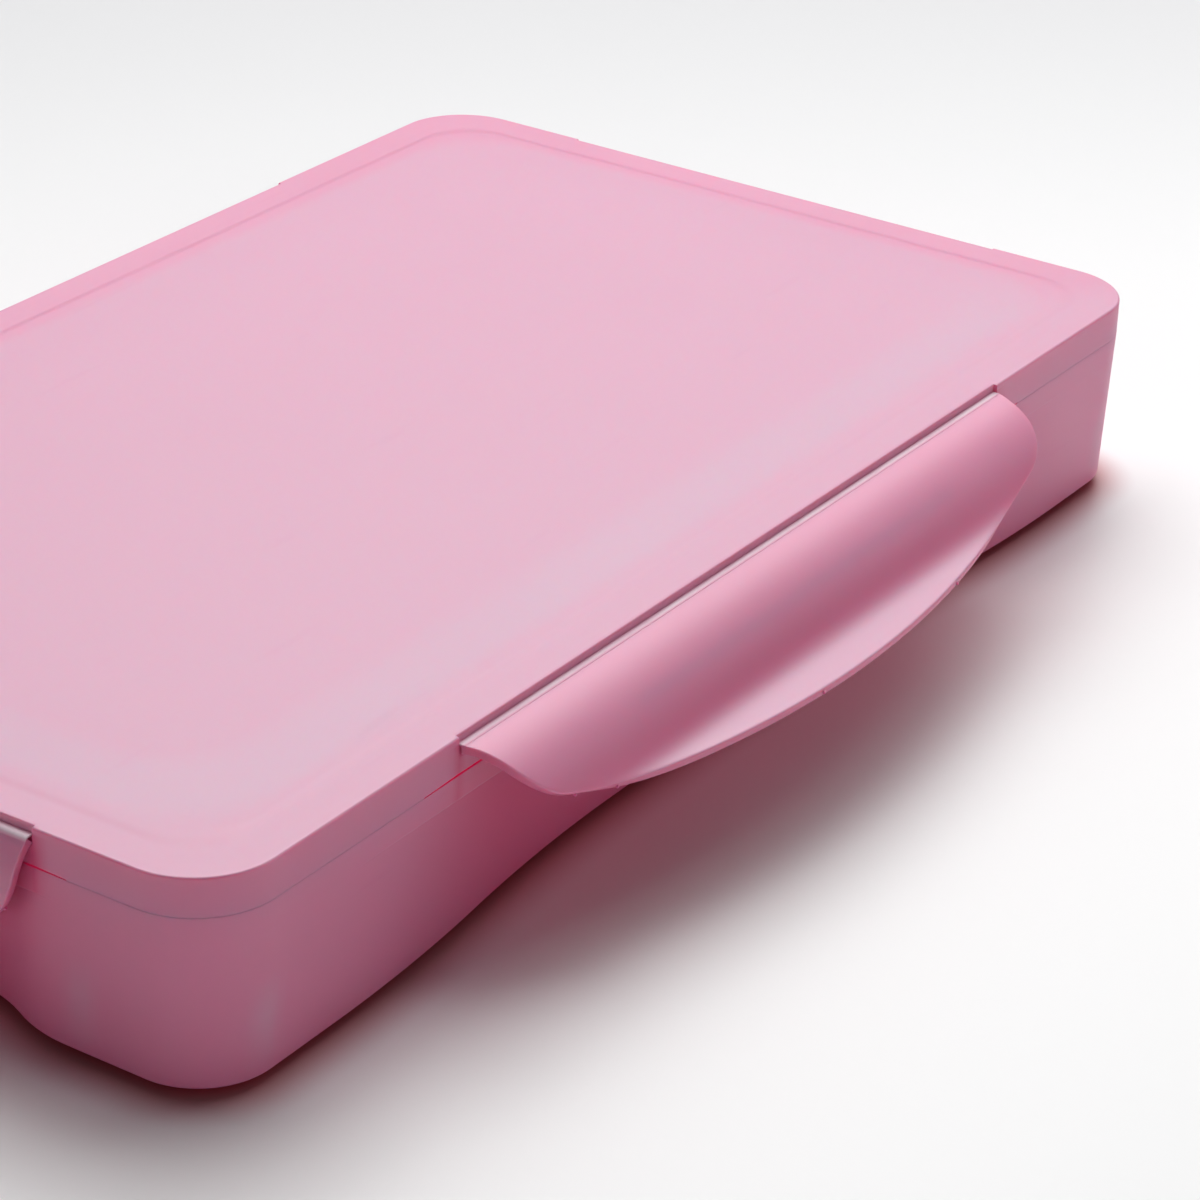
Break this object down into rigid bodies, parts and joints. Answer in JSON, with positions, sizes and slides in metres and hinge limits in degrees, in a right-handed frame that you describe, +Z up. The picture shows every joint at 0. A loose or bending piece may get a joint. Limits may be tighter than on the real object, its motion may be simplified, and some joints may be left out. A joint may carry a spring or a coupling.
{
  "type": "gouache paint set box",
  "caption": "Flat plastic paint case with a lift-off lid held by four hinged snap flaps, over a rack of paint cups, a mixing palette and brushes.",
  "frame": {"origin": "middle of the flat underside of the case base", "axes": "+X along the long side of the case, +Z up through the lid, -Y towards the side with the open flap"},
  "size_m": [0.3336, 0.2195, 0.0435],
  "materials": {
    "case_plastic": "satin moulded pink plastic",
    "rack_plastic": "white moulded plastic",
    "palette_plastic": "white glossy plastic",
    "cup_plastic": "white thin-walled plastic",
    "clear_film": "clear sealing film",
    "brush_lacquer": "lacquered wood",
    "ferrule_metal": "crimped bright metal",
    "brush_hair": "nylon bristle",
    "paint_01": "white gouache",
    "paint_02": "lemon yellow gouache",
    "paint_03": "golden yellow gouache",
    "paint_04": "orange gouache",
    "paint_05": "vermilion gouache",
    "paint_06": "crimson gouache",
    "paint_07": "rose gouache",
    "paint_08": "purple gouache",
    "paint_09": "ultramarine gouache",
    "paint_10": "cobalt blue gouache",
    "paint_11": "sky blue gouache",
    "paint_12": "turquoise gouache",
    "paint_13": "emerald gouache",
    "paint_14": "grass green gouache",
    "paint_15": "yellow ochre gouache",
    "paint_16": "burnt sienna gouache",
    "paint_17": "raw umber gouache",
    "paint_18": "black gouache"
  },
  "bodies": {
    "base": {"case_base": "case_plastic", "cup_rack": "rack_plastic"},
    "lid": {"lid": "case_plastic"},
    "palette": {"palette_tray": "palette_plastic"},
    "cups": {"cup_01": "cup_plastic", "cup_02": "cup_plastic", "cup_03": "cup_plastic", "cup_04": "cup_plastic", "cup_05": "cup_plastic", "cup_06": "cup_plastic", "cup_07": "cup_plastic", "cup_08": "cup_plastic", "cup_09": "cup_plastic", "cup_10": "cup_plastic", "cup_11": "cup_plastic", "cup_12": "cup_plastic", "cup_13": "cup_plastic", "cup_14": "cup_plastic", "cup_15": "cup_plastic", "cup_16": "cup_plastic", "cup_17": "cup_plastic", "cup_18": "cup_plastic", "paint_01": "paint_01", "paint_02": "paint_02", "paint_03": "paint_03", "paint_04": "paint_04", "paint_05": "paint_05", "paint_06": "paint_06", "paint_07": "paint_07", "paint_08": "paint_08", "paint_09": "paint_09", "paint_10": "paint_10", "paint_11": "paint_11", "paint_12": "paint_12", "paint_13": "paint_13", "paint_14": "paint_14", "paint_15": "paint_15", "paint_16": "paint_16", "paint_17": "paint_17", "paint_18": "paint_18", "peel_films": "clear_film"},
    "brushes": {"brush_1_handle": "brush_lacquer", "brush_1_ferrule": "ferrule_metal", "brush_1_tuft": "brush_hair", "brush_2_handle": "brush_lacquer", "brush_2_ferrule": "ferrule_metal", "brush_2_tuft": "brush_hair", "brush_3_handle": "brush_lacquer", "brush_3_ferrule": "ferrule_metal", "brush_3_tuft": "brush_hair"},
    "latch_front": {"latch_front": "case_plastic"},
    "latch_back": {"latch_back": "case_plastic"},
    "latch_left": {"latch_left": "case_plastic"},
    "latch_right": {"latch_right": "case_plastic"}
  },
  "joints": [
    {"name": "lid_lift", "type": "slide", "parent": "base", "child": "lid", "axis": [0, 0, 1], "range_m": [0, 0.15]},
    {"name": "palette_lift", "type": "slide", "parent": "base", "child": "palette", "axis": [0, 0, 1], "range_m": [0, 0.09]},
    {"name": "brushes_lift", "type": "slide", "parent": "base", "child": "brushes", "axis": [0, 0, 1], "range_m": [0, 0.0525]},
    {"name": "cups_lift", "type": "slide", "parent": "base", "child": "cups", "axis": [0, 0, 1], "range_m": [0, 0.0375]},
    {"name": "latch_front_hinge", "type": "hinge", "parent": "lid", "child": "latch_front", "pos_m": [0, -0.09345, 0.0406], "axis": [-1, 0, 0], "range_deg": [-59, 60]},
    {"name": "latch_back_hinge", "type": "hinge", "parent": "lid", "child": "latch_back", "pos_m": [0, 0.09345, 0.0406], "axis": [1, 0, 0], "range_deg": [-8, 107]},
    {"name": "latch_left_hinge", "type": "hinge", "parent": "lid", "child": "latch_left", "pos_m": [-0.1603, 0, 0.0406], "axis": [0, 1, 0], "range_deg": [-8, 107]},
    {"name": "latch_right_hinge", "type": "hinge", "parent": "lid", "child": "latch_right", "pos_m": [0.1603, 0, 0.0406], "axis": [0, -1, 0], "range_deg": [-8, 107]}
  ],
  "couplings": [
    {"joint": "palette_lift", "follows": "lid_lift", "ratio": 0.6},
    {"joint": "brushes_lift", "follows": "lid_lift", "ratio": 0.35},
    {"joint": "cups_lift", "follows": "lid_lift", "ratio": 0.25}
  ]
}
